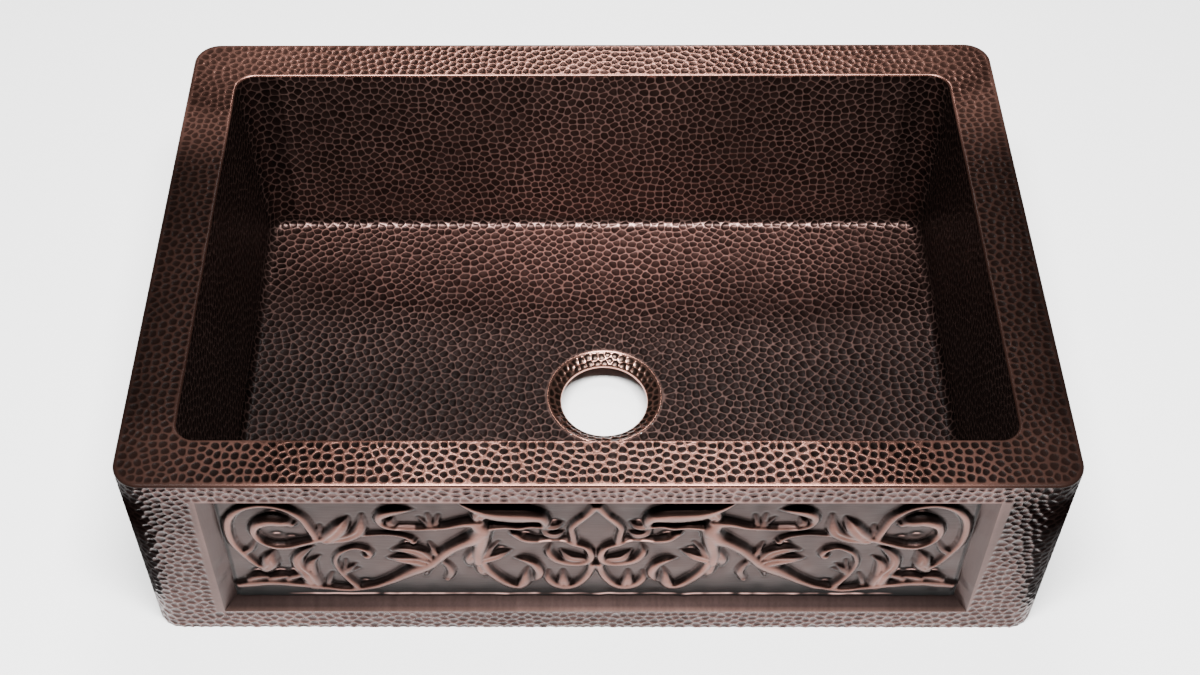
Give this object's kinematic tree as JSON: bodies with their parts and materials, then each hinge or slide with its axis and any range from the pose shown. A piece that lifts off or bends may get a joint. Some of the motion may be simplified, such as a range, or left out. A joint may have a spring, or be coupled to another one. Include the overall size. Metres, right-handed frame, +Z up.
{
  "type": "apron-front kitchen sink",
  "caption": "Rectangular single-bowl kitchen sink of hammered copper sheet, with a flat mitred rim, a round drain hole and a sunk front panel of raised acanthus scrolls.",
  "frame": {"origin": "middle of the bounding box's base, on the plane of the apron's lower edge", "axes": "+X to the right seen from the front, +Y to the back, +Z up; the apron faces -Y"},
  "size_m": [0.8382, 0.5588, 0.2413],
  "materials": {
    "rim_copper": "hammered copper, brown patina, polished edges",
    "bowl_copper": "hammered copper, dark brown patina",
    "drain_copper": "hammered copper, dark brown patina",
    "apron_copper": "hammered copper, brown patina",
    "bevel_copper": "smooth copper, brown patina",
    "scroll_copper": "copper, grey-brown field, rubbed rose crests"
  },
  "bodies": {
    "root": {"rim_front": "rim_copper", "rim_back": "rim_copper", "rim_left": "rim_copper", "rim_right": "rim_copper", "apron_frame": "apron_copper", "left_skirt": "apron_copper", "right_skirt": "apron_copper", "recess_bevel_top": "bevel_copper", "recess_bevel_bottom": "bevel_copper", "recess_bevel_left": "bevel_copper", "recess_bevel_right": "bevel_copper", "repousse_panel": "scroll_copper", "bowl_floor": "bowl_copper", "bowl_back_wall": "bowl_copper", "bowl_front_wall": "bowl_copper", "bowl_left_wall": "bowl_copper", "bowl_right_wall": "bowl_copper", "drain_dish": "drain_copper"}
  },
  "joints": []
}
